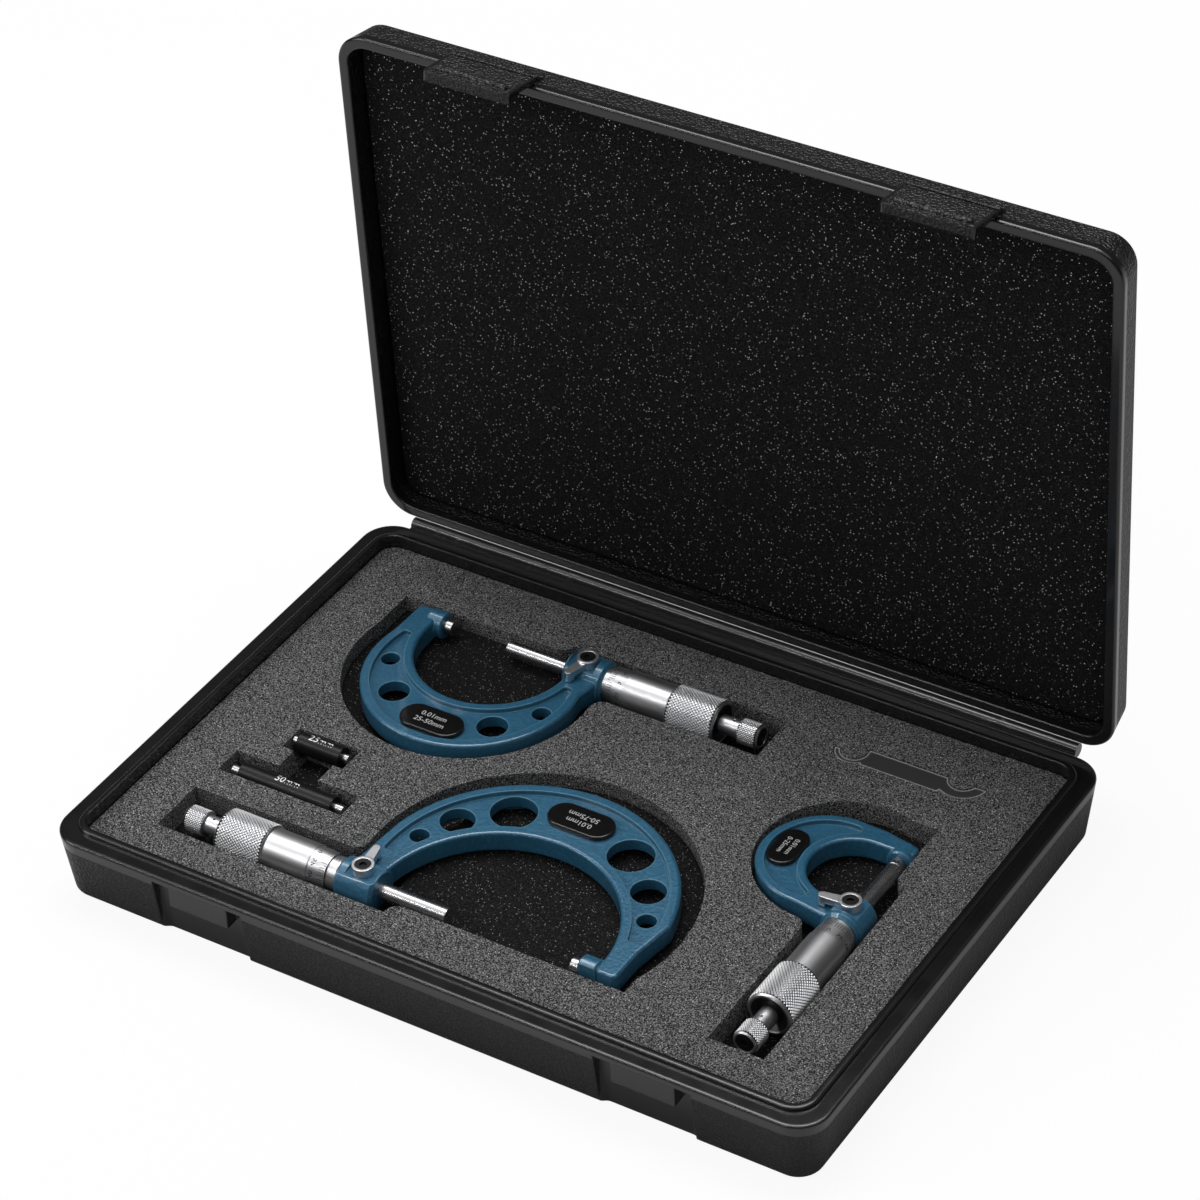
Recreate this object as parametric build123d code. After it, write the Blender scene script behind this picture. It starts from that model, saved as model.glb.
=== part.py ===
from build123d import *
import os
from math import atan, degrees, radians, sin, sqrt
from types import SimpleNamespace

# Hinged plastic case with three outside micrometers, two setting standards and a pin spanner.
# Millimetres. The origin is the centre of the case's bottom face: X runs along the hinge, Y from the
# latches to the hinge, Z up. The lid stands open and everything else lies in its pocket.

# ---------------------------------------------------------------- case shells
CASE_W = 320.0  # outside width at the rim
CASE_D = 220.0  # outside depth at the rim
BASE_H = 28.0  # base, bottom face to rim
LID_H = 16.5  # lid, rim to top face
CORNER_R = 13.0  # plan radius of the outer corners at the rim
BASE_INSET = 3.6  # lean of the base walls between rim and bottom
LID_INSET = 2.5  # lean of the lid walls between rim and top
EDGE_R = 3.0  # rounding of the bottom and top outer edges
RIM_R = 1.0  # rounding of both rims' outer edges
SHELF_W = 6.3  # flat shelf of the base rim, which the lid closes on
LIP_T = 2.6  # lip that stands inside the shelf
LIP_H = 1.8  # lip above the shelf
TRAY_R = 7.0  # plan radius of the tray's corners, inside the lip
FLOOR_T = 2.6  # floor of the base
LID_WALL = 4.5  # rim of the lid
LID_CORNER_R = 9.0  # plan radius of the lid's inner corners
LID_SKIN = 2.4  # top of the lid
LID_INNER_R = 0.6  # rounding of the lid rim's inner edge
LID_GAP = 0.2  # between the two rims when the lid is shut
OPEN_ANGLE = 88.4  # the lid stands open by this much

# ---------------------------------------------------------------- hinge and latches
HINGE_OUT = 3.0  # hinge axis behind the rim
HINGE_W = 292.0
HINGE_CLEAR = 0.3  # hinge bead to the back walls
HINGE_WEB_T = 1.4
HINGE_STEP = 0.2  # ledge on the base that carries the hinge web
LATCH_X = 93.0  # latch centres, left and right of the middle
FLAP_W = 36.6
FLAP_T = 2.0
FLAP_L = 17.7  # root axis to free edge
FLAP_CLEAR = 0.35  # inner face of a latched flap to the base rim
ROOT_UP = 2.2  # root axis above the lid's rim
ROOT_GAP = 0.25  # flap bead to the lug above it
FLAP_TILT = 9.5  # a free flap leans out by this much
FLAP_CORNER_R = 2.0
LUG_H = 4.6
HOOK_REACH = 2.6
HOOK_T = 2.6
GRIP_R = 1.5  # grip bead across the flap
GRIP_UP = 4.2  # grip bead above the free edge
GRIP_END = 2.6  # plain flap beyond each end of the grip bead
RIM_T = 3.0  # rim left standing over a latch recess
RECESS_W = 39.0
RECESS_R = 3.0
CATCH_W = 25.5
CATCH_IN = 1.0  # catch face behind the rim's edge
HOOK_PLAY = 0.4  # catch to hook, when latched

# ---------------------------------------------------------------- foam
FOAM_DROP = 3.5  # foam face below the rim
FOAM_GAP = 0.3  # foam to the tray wall
FOAM_FIT = 0.3  # pocket floor to what lies on it
POCKET_R = 5.0  # where a thimble slot runs into a bow pocket
LID_FOAM_DROP = 7.6  # lid foam face inside the lid's rim
LID_FOAM_GAP = 1.0
LID_FOAM_R = 8.0

# ---------------------------------------------------------------- micrometers, sizes they share
FRAME_T = 8.6
FRAME_EDGE_R = 1.2
OUTLINE_R = 2.0  # rounding of the outline's corners
PANEL_D = 2.0  # sunk panel, on both faces
PANEL_R = 1.5
NOSE_R = 5.4  # anvil boss
NOSE_L = 7.2
SPINDLE_R = 3.2
ANVIL_OUT = 3.6  # anvil beyond its boss
ANVIL_IN = 6.0  # anvil inside its boss
ANVIL_SHANK_R = 2.3
RUN_FIT = 0.05  # radial play of turning and sliding fits
BOSS_R = 8.2  # barrel boss
BOSS_EDGE = 1.2
SLEEVE_R = 6.6
SLEEVE_SEAT = 3.6  # sleeve inside the boss
SLEEVE_OUT = 32.0  # sleeve beyond the boss
SLEEVE_BORE = 4.6
NUT_L = 9.0  # end of the sleeve that guides the spindle
ZERO_GAP = 2.0  # boss to thimble edge at the lowest reading
THIMBLE_L = 47.6
THIMBLE_EDGE_R = 7.3
BEVEL_R = 7.7  # upper end of the graduated bevel
BEVEL_L = 7.6
THIMBLE_R = 8.0
KNURL_R = 8.8
KNURL_L = 21.0
KNURL_EDGE = 0.7
THIMBLE_PLAY = 0.3  # sleeve to thimble
CONE_R = 7.6  # turned hollow in the thimble's end
CONE_FOOT_R = 4.8
CONE_D = 2.2
END_WALL = 4.0
COLLAR_R = 5.5  # spindle shoulder inside the thimble
COLLAR_L = 4.0
NECK_R = 3.6
NECK_L = 7.6  # neck beyond the thimble's end
NECK_HOLE_R = 0.6
RATCHET_R = 4.75
RATCHET_L = 9.2
RATCHET_EDGE = 0.6
SCREW_HEAD_R = 3.3
SCREW_SINK_R = 3.8
SCREW_SINK = 1.8
SCREW_HEAD_L = 1.6
SCREW_R = 1.6
HEX_R = 1.5  # corner radius of a hexagon socket
HEX_D = 1.0
LOCK_FLAT = 6.3  # height of the lever's seat above the spindle axis
LOCK_SEAT_FRONT = 7.0
LOCK_SEAT_BACK = 5.0
HUB_R = 4.2
HUB_H = 3.4
HUB_SINK_R = 3.0
HUB_SINK = 2.1
LEVER_L = 12.2
LEVER_W = 4.6
LEVER_T = 2.6
LEVER_TAB = 1.6  # thumb tab below the lever
LEVER_TAB_L = 3.0
LOCK_SCREW_R = 1.5
LOCK_SCREW_IN = 2.6  # screw below the lever's seat
PLATE_T = 1.9
PLATE_EDGE = 0.6
PLATE_FIT = 0.05

# ---------------------------------------------------------------- micrometers, one by one
# In its own frame a micrometer has its spindle on X with the thimble towards +X, its bow towards -Y,
# and its origin in the middle of the bow. The origin lies at x, y and drop below the rim, turned about Z,
# and tilt lifts the thimble end. The pocket has a frame of its own, turned the same way.
MIC_0_25 = SimpleNamespace(
    name="0_25",
    low=0.05,  # anvil to spindle when screwed down
    opening=0.0,  # how far it is open beyond that
    bow_r=25.6,
    bow_y=-21.6,
    throat_r=16.7,
    throat_y=-10.5,
    border=3.4,
    panel_top=-18.5,
    nose_x=-14.8,
    foot_x=-22.2,
    foot_top=4.6,
    side=(-25.2, -10.0),  # where the outline turns towards the foot
    arm_y=-21.0,
    boss_x=15.0,
    boss_end=29.1,
    plate_x=0.0,
    plate_y=-37.2,
    plate_l=20.4,
    plate_w=11.2,
    lock_x=21.0,
    lever_turn=7.5,
    holes=(),
    x=115.4,
    y=17.1,
    drop=6.2,
    turn=-90.0,
    tilt=1.5,
    pocket_at=(115.0, 15.1),
    pocket_x=-5.5,
    pocket_y=-15.5,
    pocket_r=33.6,
    pocket_top=5.3,
    pocket_corner=-37.2,
    slot_start=-3.2,
    slot_low=-12.0,
    slot_high=10.3,
    slot_end=97.2,
    deep_start=12.0,
)
MIC_25_50 = SimpleNamespace(
    name="25_50",
    low=25.0,
    opening=0.0,
    bow_r=43.0,
    bow_y=-24.5,
    throat_r=31.0,
    throat_y=-9.0,
    border=3.8,
    panel_top=-14.0,
    nose_x=-28.0,
    foot_x=-41.4,
    foot_top=2.8,
    side=(-41.8, -11.0),
    arm_y=-16.0,
    boss_x=28.3,
    boss_end=45.3,
    plate_x=1.1,
    plate_y=-54.6,
    plate_l=26.4,
    plate_w=13.2,
    lock_x=36.3,
    lever_turn=-13.0,
    holes=((-34.2, -29.6, 3.7), (-22.0, -45.4, 6.0), (22.0, -45.4, 6.0), (34.1, -30.2, 3.7)),
    x=-73.8,
    y=68.2,
    drop=4.3,
    turn=0.0,
    tilt=0.0,
    pocket_at=(-73.8, 68.2),
    pocket_x=-3.0,
    pocket_y=-21.5,
    pocket_r=49.7,
    pocket_top=7.3,
    pocket_corner=-51.8,
    slot_start=22.0,
    slot_low=-11.0,
    slot_high=12.3,
    slot_end=116.0,
    deep_start=28.0,
)
MIC_50_75 = SimpleNamespace(
    name="50_75",
    low=50.0,
    opening=2.0,
    bow_r=58.6,
    bow_y=-20.0,
    throat_r=46.3,
    throat_y=-2.2,
    border=4.0,
    panel_top=-16.0,
    nose_x=-39.5,
    foot_x=-54.8,
    foot_top=2.8,
    side=(-55.0, -13.0),
    arm_y=-30.0,
    boss_x=44.5,
    boss_end=61.1,
    plate_x=0.0,
    plate_y=-63.8,
    plate_l=27.0,
    plate_w=13.2,
    lock_x=52.0,
    lever_turn=7.5,
    holes=(
        (-48.0, -29.8, 3.7), (-40.5, -43.6, 6.6), (-24.9, -57.3, 8.8),
        (24.9, -57.3, 8.8), (40.5, -43.6, 6.6), (48.0, -29.8, 3.7),
    ),
    x=7.0,
    y=-72.6,
    drop=4.0,
    turn=180.0,
    tilt=0.0,
    pocket_at=(7.0, -72.6),
    pocket_x=0.0,
    pocket_y=-26.6,
    pocket_r=63.5,
    pocket_top=3.9,
    pocket_corner=-59.2,
    slot_start=37.4,
    slot_low=-14.6,
    slot_high=9.6,
    slot_end=137.0,
    deep_start=44.2,
)
MICROMETERS = (MIC_0_25, MIC_25_50, MIC_50_75)

# ---------------------------------------------------------------- setting standards and spanner
STANDARD_R = 2.0
STANDARD_EDGE = 0.4
GRIP_SLEEVE_R = 4.1
STANDARD_DROP = 5.6  # their axes below the rim
STANDARD_SLOT_W = 12.2
LONG_STANDARD = SimpleNamespace(  # tip: bare rod beyond the sleeve; near, left, right: walls beside it
    name="50", length=50.0, tip=4.5, x=-100.3, y=-41.0, left=3.5, right=1.6, near=0.4,
)
SHORT_STANDARD = SimpleNamespace(
    name="25", length=25.0, tip=3.0, x=-102.5, y=-15.8, left=0.4, right=1.9, near=3.4,
)
FINGER_X = -101.2  # finger gap between the two slots
FINGER_W = 17.6
FINGER_FLOOR = 14.6
SPANNER_T = 1.6
SPANNER_DROP = 0.5  # spanner below the foam face
SPANNER_X = 93.3
SPANNER_Y = 75.9
SPANNER_L = 32.4
SPANNER_W = 9.0
SPANNER_EDGE = 1.2
HOOK_IN_R = 5.6
HOOK_OUT_R = 10.2
WIDE_HOOK_IN_R = 5.3
WIDE_HOOK_OUT_R = 7.4
SPANNER_FIT = 0.4

# ---------------------------------------------------------------- places that follow from the sizes
TRAY_IN = SHELF_W + LIP_T
FOAM_TOP = BASE_H - FOAM_DROP
LID_RIM_Z = BASE_H + LID_GAP
HINGE_R = HINGE_OUT - HINGE_CLEAR
HINGE_Y = CASE_D / 2 + HINGE_OUT
HINGE_Z = BASE_H + LID_GAP / 2
HINGE_AXIS = Axis((0, HINGE_Y, HINGE_Z), (1, 0, 0))
FRONT_Y = -CASE_D / 2
ROOT_Y = FRONT_Y - FLAP_CLEAR - FLAP_T / 2
ROOT_Z = LID_RIM_Z + ROOT_UP
HOOK_TOP = ROOT_Z - FLAP_L + HOOK_T
CATCH_Z = HOOK_TOP + HOOK_PLAY
NEAR = 0.01  # overlap that makes two shapes of one solid fuse


def slab(width, depth, radius, low, high):
    """A block with rounded corners, between two heights."""
    return extrude(Pos(0, 0, low) * RectangleRounded(width, depth, radius), amount=high - low)


def between(x0, x1, y0, y1):
    """A rectangle given by its sides."""
    return Pos((x0 + x1) / 2, (y0 + y1) / 2) * Rectangle(x1 - x0, y1 - y0)


def turned(points):
    """A solid turned about X from (x, radius) points."""
    return revolve(make_face(Polyline(*points, close=True)), Axis.X)


def rod(x0, x1, radius, edge=0.0):
    """A round bar on X with both edges broken."""
    return turned([
        (x0, 0), (x0, radius - edge), (x0 + edge, radius), (x1 - edge, radius), (x1, radius - edge), (x1, 0),
    ]) if edge else turned([(x0, 0), (x0, radius), (x1, radius), (x1, 0)])


def in_case_profile(points, x0, x1):
    """A solid of the given (y, z) outline, between two places along the hinge."""
    outline = make_face(Polyline(*[(x0, y, z) for y, z in points], close=True))
    return extrude(outline, amount=x1 - x0, dir=(1, 0, 0))


def opened(shape):
    """Turns a piece of the shut lid up to where the lid stands."""
    return shape.rotate(HINGE_AXIS, -OPEN_ANGLE)


# ---------------------------------------------------------------- case
def latch_recess(x):
    """What is taken out of the front wall for one latch, from under the rim to the bottom."""
    low, high = -1.0, BASE_H - RIM_T
    depth = 2 * SHELF_W
    block = Pos(x, FRONT_Y + SHELF_W - depth / 2, (low + high) / 2) * Box(RECESS_W, depth, high - low)
    back = block.edges().filter_by(Axis.Z).group_by(Axis.Y)[-1]
    return fillet(back, RECESS_R)


def catch_block(x):
    """The catch that the hook snaps under: it hangs from the rim in the middle of its recess."""
    front = FRONT_Y + CATCH_IN
    back = FRONT_Y + SHELF_W + NEAR
    top = BASE_H - RIM_T + NEAR
    return in_case_profile(
        [(front, CATCH_Z), (back, CATCH_Z), (back, top), (front, top)], x - CATCH_W / 2, x + CATCH_W / 2
    )


def base_shell():
    """Double-walled base: drafted outer walls, sealing shelf, lip, tray, latch recesses."""
    outer = extrude(
        Pos(0, 0, BASE_H) * RectangleRounded(CASE_W, CASE_D, CORNER_R),
        amount=-BASE_H,
        taper=degrees(atan(BASE_INSET / BASE_H)),
    )
    outer = fillet(outer.faces().sort_by(Axis.Z)[0].edges(), EDGE_R)
    outer = fillet(outer.faces().sort_by(Axis.Z)[-1].edges(), RIM_R)
    lip = slab(CASE_W - 2 * SHELF_W, CASE_D - 2 * SHELF_W, TRAY_R + LIP_T, FLOOR_T, BASE_H + LIP_H)
    lip = fillet(lip.faces().sort_by(Axis.Z)[-1].edges(), LIP_T / 3)
    tray = slab(CASE_W - 2 * TRAY_IN, CASE_D - 2 * TRAY_IN, TRAY_R, FLOOR_T, BASE_H + LIP_H + 1)
    shell = outer + lip - tray
    for x in (-LATCH_X, LATCH_X):
        shell = shell - latch_recess(x) + catch_block(x)
    back = CASE_D / 2
    ledge = in_case_profile(
        [
            (back - SHELF_W, BASE_H - HINGE_WEB_T), (back + HINGE_STEP, BASE_H - HINGE_WEB_T),
            (back + HINGE_STEP, BASE_H), (back - SHELF_W, BASE_H),
        ],
        -HINGE_W / 2,
        HINGE_W / 2,
    )
    return shell + ledge


def living_hinge():
    """The folding strip: a round bead on the hinge axis and the web that joins it to the base."""
    bead = Pos(0, HINGE_Y, HINGE_Z) * Rot(0, 90, 0) * Cylinder(HINGE_R, HINGE_W)
    start = CASE_D / 2 + HINGE_STEP
    web = in_case_profile(
        [
            (start, BASE_H - HINGE_WEB_T), (HINGE_Y, BASE_H - HINGE_WEB_T),
            (HINGE_Y, BASE_H), (start, BASE_H),
        ],
        -HINGE_W / 2,
        HINGE_W / 2,
    )
    return bead + web


def latch_lug(x):
    """The swelling of the lid's front wall that a flap hangs from."""
    low = ROOT_Z + FLAP_T / 2 + ROOT_GAP
    out = ROOT_Y - FLAP_T / 2
    wall = FRONT_Y + LID_WALL / 2
    return in_case_profile(
        [(wall, low), (out, low), (out, low + LUG_H / 4), (FRONT_Y + 1, low + LUG_H), (wall, low + LUG_H)],
        x - FLAP_W / 2,
        x + FLAP_W / 2,
    )


def lid_shell():
    """Drafted lid with its hollow and the two lugs that carry the latch flaps."""
    outer = extrude(
        Pos(0, 0, LID_RIM_Z) * RectangleRounded(CASE_W, CASE_D, CORNER_R),
        amount=LID_H,
        taper=degrees(atan(LID_INSET / LID_H)),
    )
    outer = fillet(outer.faces().sort_by(Axis.Z)[-1].edges(), EDGE_R)
    outer = fillet(outer.faces().sort_by(Axis.Z)[0].edges(), RIM_R)
    hollow = slab(
        CASE_W - 2 * LID_WALL, CASE_D - 2 * LID_WALL, LID_CORNER_R, LID_RIM_Z - 1, LID_RIM_Z + LID_H - LID_SKIN
    )
    shell = outer - hollow
    inner_edges = shell.faces().sort_by(Axis.Z)[0].inner_wires()[0].edges()
    shell = fillet(inner_edges, LID_INNER_R)
    for x in (-LATCH_X, LATCH_X):
        shell = shell + latch_lug(x)
    return opened(shell)


def latch_flap(x):
    """One latch: a plate with a root bead, a grip bead outside and a hook inside its free edge."""
    inner, out = ROOT_Y + FLAP_T / 2, ROOT_Y - FLAP_T / 2
    low = ROOT_Z - FLAP_L
    left, right = x - FLAP_W / 2, x + FLAP_W / 2
    plate = in_case_profile([(out, low), (inner, low), (inner, ROOT_Z), (out, ROOT_Z)], left, right)
    hook = in_case_profile(
        [
            (inner - NEAR, low), (inner + HOOK_REACH / 2, low), (inner + HOOK_REACH, HOOK_TOP - HOOK_T / 2),
            (inner + HOOK_REACH, HOOK_TOP), (inner - NEAR, HOOK_TOP),
        ],
        left,
        right,
    )
    root = Pos(x, ROOT_Y, ROOT_Z) * Rot(0, 90, 0) * Cylinder(FLAP_T / 2, FLAP_W)
    flap = plate + hook + root
    free_corners = flap.edges().filter_by(Axis.Y).group_by(Axis.Z)[0]
    flap = fillet(free_corners, FLAP_CORNER_R)
    reach = FLAP_W / 2 - GRIP_END - GRIP_R
    grip = Pos(x, out, low + GRIP_UP) * Rot(0, 90, 0) * Cylinder(GRIP_R, 2 * reach)
    for end in (-reach, reach):
        grip = grip + Pos(x + end, out, low + GRIP_UP) * Sphere(GRIP_R)
    flap = (flap + grip).rotate(Axis((0, ROOT_Y, ROOT_Z), (1, 0, 0)), -FLAP_TILT)
    return opened(flap)


def lid_foam():
    """The pad glued in the lid, which holds the contents down."""
    pad = slab(
        CASE_W - 2 * (LID_WALL + LID_FOAM_GAP),
        CASE_D - 2 * (LID_WALL + LID_FOAM_GAP),
        LID_FOAM_R,
        LID_RIM_Z + LID_FOAM_DROP,
        LID_RIM_Z + LID_H - LID_SKIN,
    )
    return opened(pad)


# ---------------------------------------------------------------- micrometer
def thimble_start(m):
    return m.boss_end + ZERO_GAP + m.opening


def ratchet_end(m):
    return thimble_start(m) + THIMBLE_L + NECK_L + RATCHET_L


def spindle_face(m):
    return m.nose_x + ANVIL_OUT + m.low + m.opening


def lying(m):
    """Where a micrometer lies in the case."""
    return Pos(m.x, m.y, BASE_H - m.drop) * Rot(0, 0, m.turn) * Rot(0, -m.tilt, 0)


def axis_height(m, x):
    """Height of the spindle axis at a place along it."""
    return BASE_H - m.drop + x * sin(radians(m.tilt))


def crescent_ends(m, y):
    """How far the bow's outer and inner rims are from its middle, at a height."""
    outside = sqrt(m.bow_r**2 - (y - m.bow_y) ** 2)
    inside = sqrt(m.throat_r**2 - (y - m.throat_y) ** 2)
    return outside, inside


def crescent(m, margin, top):
    """The bow between its two circles, taken in by a margin and cut off at a height."""
    rim = Pos(0, m.bow_y) * Circle(m.bow_r - margin)
    throat = Pos(0, m.throat_y) * Circle(m.throat_r + margin)
    below = between(-m.bow_r, m.bow_r, m.bow_y - m.bow_r, top)
    return (rim - throat) & below


def bow_outline(m):
    """The bow with the arm that carries the anvil and the arm that carries the barrel."""
    outside, inside = crescent_ends(m, m.arm_y)
    anvil_arm = make_face(Polyline(
        (-outside, m.arm_y), (-inside, m.arm_y), (m.nose_x, m.throat_y), (m.nose_x, m.foot_top),
        (m.foot_x, m.foot_top), m.side, close=True,
    ))
    head = m.boss_end - BOSS_EDGE
    barrel_arm = make_face(Polyline(
        (outside, m.arm_y), (inside, m.arm_y), (m.boss_x, m.throat_y), (m.boss_x, 0), (head, 0),
        (head, -NOSE_R), close=True,
    ))
    opening = Pos(0, m.throat_y) * Circle(m.throat_r)
    opening = opening + between(-m.throat_r, m.throat_r, m.throat_y, 2 * NOSE_R)
    outline = crescent(m, 0, m.arm_y) + anvil_arm + barrel_arm - opening
    corners = [v for v in outline.vertices() if v.Y > m.throat_y + 1 or abs(v.X) > m.throat_r + 1]
    return fillet(corners, OUTLINE_R)


def label_outline(m, extra=0.0):
    return Pos(m.plate_x, m.plate_y) * SlotOverall(m.plate_l + 2 * extra, m.plate_w + 2 * extra)


def frame(m):
    """Forged frame: a rounded bow with a sunk, drilled panel on each face, and its two bosses."""
    face = FRAME_T / 2
    body = extrude(bow_outline(m), amount=face, both=True)
    rims = body.faces().filter_by(Axis.Z).edges()
    body = fillet(rims, FRAME_EDGE_R)
    panel = crescent(m, m.border, m.panel_top)
    panel = fillet(panel.vertices(), PANEL_R)
    for low in (face - PANEL_D, -face):
        body = body - extrude(Pos(0, 0, low) * panel, amount=PANEL_D)
    body = body - extrude(Pos(0, 0, face - PANEL_D) * label_outline(m, PLATE_FIT), amount=PANEL_D + 1)
    for x, y, radius in m.holes:
        body = body - Pos(x, y) * Cylinder(radius, FRAME_T)
    nose = rod(m.nose_x - NOSE_L, m.nose_x, NOSE_R, BOSS_EDGE / 2)
    body = body + (nose & Pos(0, m.foot_top - NOSE_R, 0) * Box(2 * m.bow_r, 2 * NOSE_R, 2 * NOSE_R))
    body = body + rod(m.boss_x, m.boss_end, BOSS_R, BOSS_EDGE)
    body = body - rod(m.nose_x - ANVIL_IN, m.nose_x + 1, ANVIL_SHANK_R + RUN_FIT)
    body = body - rod(m.boss_x - 1, m.boss_end + 1, SPINDLE_R + RUN_FIT)
    body = body - rod(m.boss_end - SLEEVE_SEAT, m.boss_end + 1, SLEEVE_R + RUN_FIT)
    seat = extrude(
        Pos(0, 0, LOCK_FLAT)
        * between(m.lock_x - LOCK_SEAT_FRONT, m.lock_x + LOCK_SEAT_BACK, -BOSS_R - 1, BOSS_R + 1),
        amount=BOSS_R,
    )
    screw_hole = Pos(m.lock_x, 0, LOCK_FLAT) * Cylinder(LOCK_SCREW_R + RUN_FIT, 2 * LOCK_SCREW_IN + 2 * RUN_FIT)
    return body - seat - screw_hole


def anvil(m):
    """Fixed measuring face, pressed into its boss."""
    start, face, edge = m.nose_x - ANVIL_IN, m.nose_x + ANVIL_OUT, RUN_FIT * 4
    return turned([
        (start, 0), (start, ANVIL_SHANK_R), (m.nose_x, ANVIL_SHANK_R), (m.nose_x, SPINDLE_R),
        (face - edge, SPINDLE_R), (face, SPINDLE_R - edge), (face, 0),
    ])


def label_plate(m):
    """Domed name plate, let into the panel."""
    plate = extrude(Pos(0, 0, FRAME_T / 2 - PANEL_D) * label_outline(m), amount=PLATE_T)
    return fillet(plate.faces().sort_by(Axis.Z)[-1].edges(), PLATE_EDGE)


def sleeve(m):
    """Graduated barrel, held in the boss, with the nut that guides the spindle at its far end."""
    start, end = m.boss_end - SLEEVE_SEAT, m.boss_end + SLEEVE_OUT
    guide = SPINDLE_R + RUN_FIT
    return turned([
        (start, SLEEVE_BORE), (start, SLEEVE_R), (end, SLEEVE_R), (end, guide), (end - NUT_L, guide),
        (end - NUT_L, SLEEVE_BORE),
    ])


def spindle(m):
    """Measuring spindle, up to the shoulder that the thimble seats on."""
    end = thimble_start(m) + THIMBLE_L - CONE_D - END_WALL - RUN_FIT
    edge = RUN_FIT * 4
    face = spindle_face(m)
    return turned([
        (face, 0), (face, SPINDLE_R - edge), (face + edge, SPINDLE_R), (end - COLLAR_L, SPINDLE_R),
        (end - COLLAR_L, COLLAR_R), (end, COLLAR_R), (end, 0),
    ])


def thimble(m):
    """Thimble with a graduated bevel, a plain length, a knurled grip and a hollow turned in its end."""
    x = thimble_start(m)
    end = x + THIMBLE_L
    knurl = end - KNURL_L
    bore = SLEEVE_R + THIMBLE_PLAY
    hole = SCREW_R + RUN_FIT
    return turned([
        (x, bore), (x, THIMBLE_EDGE_R), (x + BEVEL_L, BEVEL_R), (x + BEVEL_L, THIMBLE_R), (knurl, THIMBLE_R),
        (knurl + KNURL_EDGE, KNURL_R), (end - KNURL_EDGE, KNURL_R), (end, KNURL_R - KNURL_EDGE),
        (end, CONE_R), (end - CONE_D, CONE_FOOT_R), (end - CONE_D, hole),
        (end - CONE_D - END_WALL, hole), (end - CONE_D - END_WALL, bore),
    ])


def ratchet(m):
    """Ratchet stop: a cross-drilled neck and a knurled knob, sunk for its screw."""
    start = thimble_start(m) + THIMBLE_L - CONE_D + RUN_FIT
    knob = thimble_start(m) + THIMBLE_L + NECK_L
    end = ratchet_end(m)
    bore = SCREW_R + RUN_FIT
    body = turned([
        (start, bore), (start, NECK_R), (knob, NECK_R), (knob + RATCHET_EDGE, RATCHET_R),
        (end - RATCHET_EDGE, RATCHET_R), (end, RATCHET_R - RATCHET_EDGE), (end, SCREW_SINK_R),
        (end - SCREW_SINK, SCREW_SINK_R), (end - SCREW_SINK, bore),
    ])
    return body - Pos(knob - NECK_L / 3, 0, NECK_R) * Cylinder(NECK_HOLE_R, NECK_R)


def ratchet_screw(m):
    """Screw that holds the ratchet on the thimble."""
    end = ratchet_end(m) - SCREW_SINK + RUN_FIT
    start = thimble_start(m) + THIMBLE_L - CONE_D - END_WALL + RUN_FIT
    head = end + SCREW_HEAD_L
    screw = turned([(start, 0), (start, SCREW_R), (end, SCREW_R), (end, SCREW_HEAD_R), (head, SCREW_HEAD_R), (head, 0)])
    socket = extrude(RegularPolygon(HEX_R, 6), amount=HEX_D)
    return screw - Pos(head, 0, 0) * Rot(0, -90, 0) * socket


def lever_place(m):
    """Where the lock lever pivots, and how far it is turned."""
    return Pos(m.lock_x, 0, LOCK_FLAT + RUN_FIT) * Rot(0, 0, m.lever_turn)


def lock_lever(m):
    """Spindle clamp lever: a sunk hub, a tapered arm and a thumb tab turned down at its end."""
    tip_r = LEVER_W / 3
    arm = make_hull((Circle(LEVER_W / 2) + Pos(0, tip_r - LEVER_L) * Circle(tip_r)).edges())
    tab = arm & between(-LEVER_W, LEVER_W, -LEVER_L, LEVER_TAB_L - LEVER_L)
    lever = extrude(arm, amount=LEVER_T) + extrude(tab, amount=-LEVER_TAB)
    lever = lever + extrude(Circle(HUB_R), amount=HUB_H)
    lever = lever - extrude(Circle(LOCK_SCREW_R + RUN_FIT), amount=HUB_H)
    lever = lever - extrude(Pos(0, 0, HUB_H - HUB_SINK) * Circle(HUB_SINK_R), amount=HUB_SINK)
    return lever_place(m) * lever


def lock_screw(m):
    """Socket screw that the lever turns on."""
    seat = HUB_H - HUB_SINK + RUN_FIT
    shank = extrude(Pos(0, 0, -LOCK_SCREW_IN) * Circle(LOCK_SCREW_R), amount=LOCK_SCREW_IN + seat + NEAR)
    head = extrude(Pos(0, 0, seat) * Circle(HUB_SINK_R - 2 * RUN_FIT), amount=HUB_SINK - 6 * RUN_FIT)
    top = seat + HUB_SINK - 6 * RUN_FIT
    socket = extrude(Pos(0, 0, top - HEX_D) * RegularPolygon(HEX_R, 6), amount=HEX_D)
    return lever_place(m) * (shank + head - socket)


MICROMETER_PARTS = {
    "frame": frame,
    "anvil": anvil,
    "label_plate": label_plate,
    "sleeve": sleeve,
    "spindle": spindle,
    "thimble": thimble,
    "ratchet": ratchet,
    "ratchet_screw": ratchet_screw,
    "lock_lever": lock_lever,
    "lock_screw": lock_screw,
}


# ---------------------------------------------------------------- setting standards and spanner
def standard_rod(s):
    bar = rod(-s.length / 2, s.length / 2, STANDARD_R, STANDARD_EDGE)
    return Pos(s.x, s.y, BASE_H - STANDARD_DROP) * bar


def standard_sleeve(s):
    """Plastic grip on the middle of a setting standard."""
    half = s.length / 2 - s.tip
    grip = turned([(-half, STANDARD_R), (-half, GRIP_SLEEVE_R), (half, GRIP_SLEEVE_R), (half, STANDARD_R)])
    return Pos(s.x, s.y, BASE_H - STANDARD_DROP) * grip


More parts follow.
